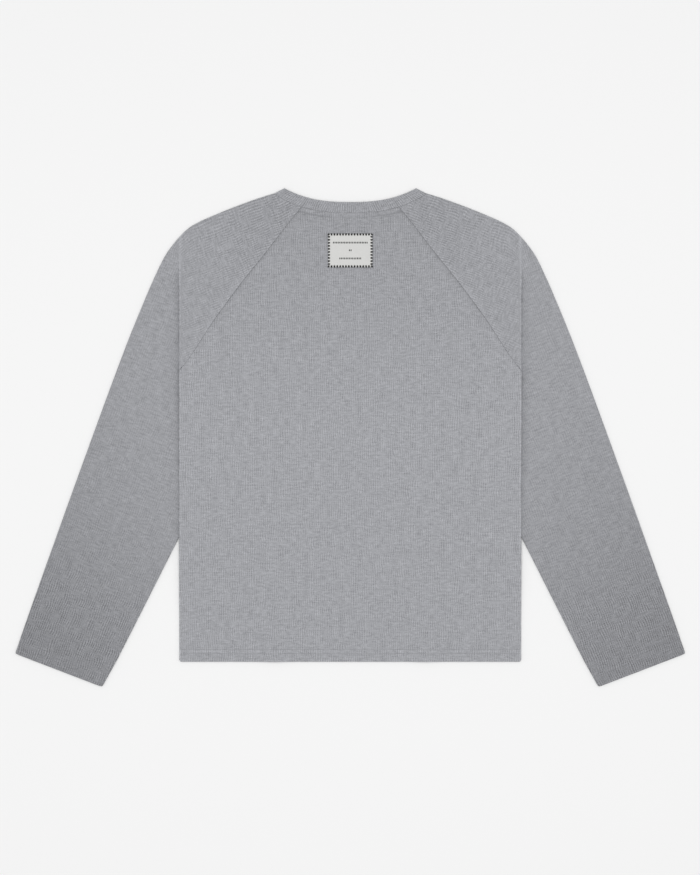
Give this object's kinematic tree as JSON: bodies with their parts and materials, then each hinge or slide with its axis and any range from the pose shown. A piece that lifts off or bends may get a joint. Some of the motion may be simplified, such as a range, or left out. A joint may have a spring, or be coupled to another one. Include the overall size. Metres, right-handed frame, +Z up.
{
  "type": "thermal top",
  "caption": "Long-sleeve raglan crew-neck thermal top in heather grey mini-waffle knit, laid flat with its back up and its sleeves swung down, with a bare woven label on the upper back.",
  "frame": {"origin": "middle of the laid-out garment's rectangle, on the surface it lies on", "axes": "+X to the right as seen from above, +Y towards the neck, +Z up from the surface, away from the garment's front"},
  "size_m": [1.006, 0.7489, 0.0094],
  "materials": {
    "waffle_knit": "matte heather grey mini-waffle cotton knit",
    "rib_knit": "matte heather grey rib knit",
    "woven_label": "matte off-white woven tape with black overcast stitches"
  },
  "bodies": {
    "root": {"back_panel": "waffle_knit", "front_panel": "waffle_knit", "sleeve_left": "waffle_knit", "sleeve_right": "waffle_knit", "neckband": "rib_knit", "label": "woven_label"}
  },
  "joints": []
}
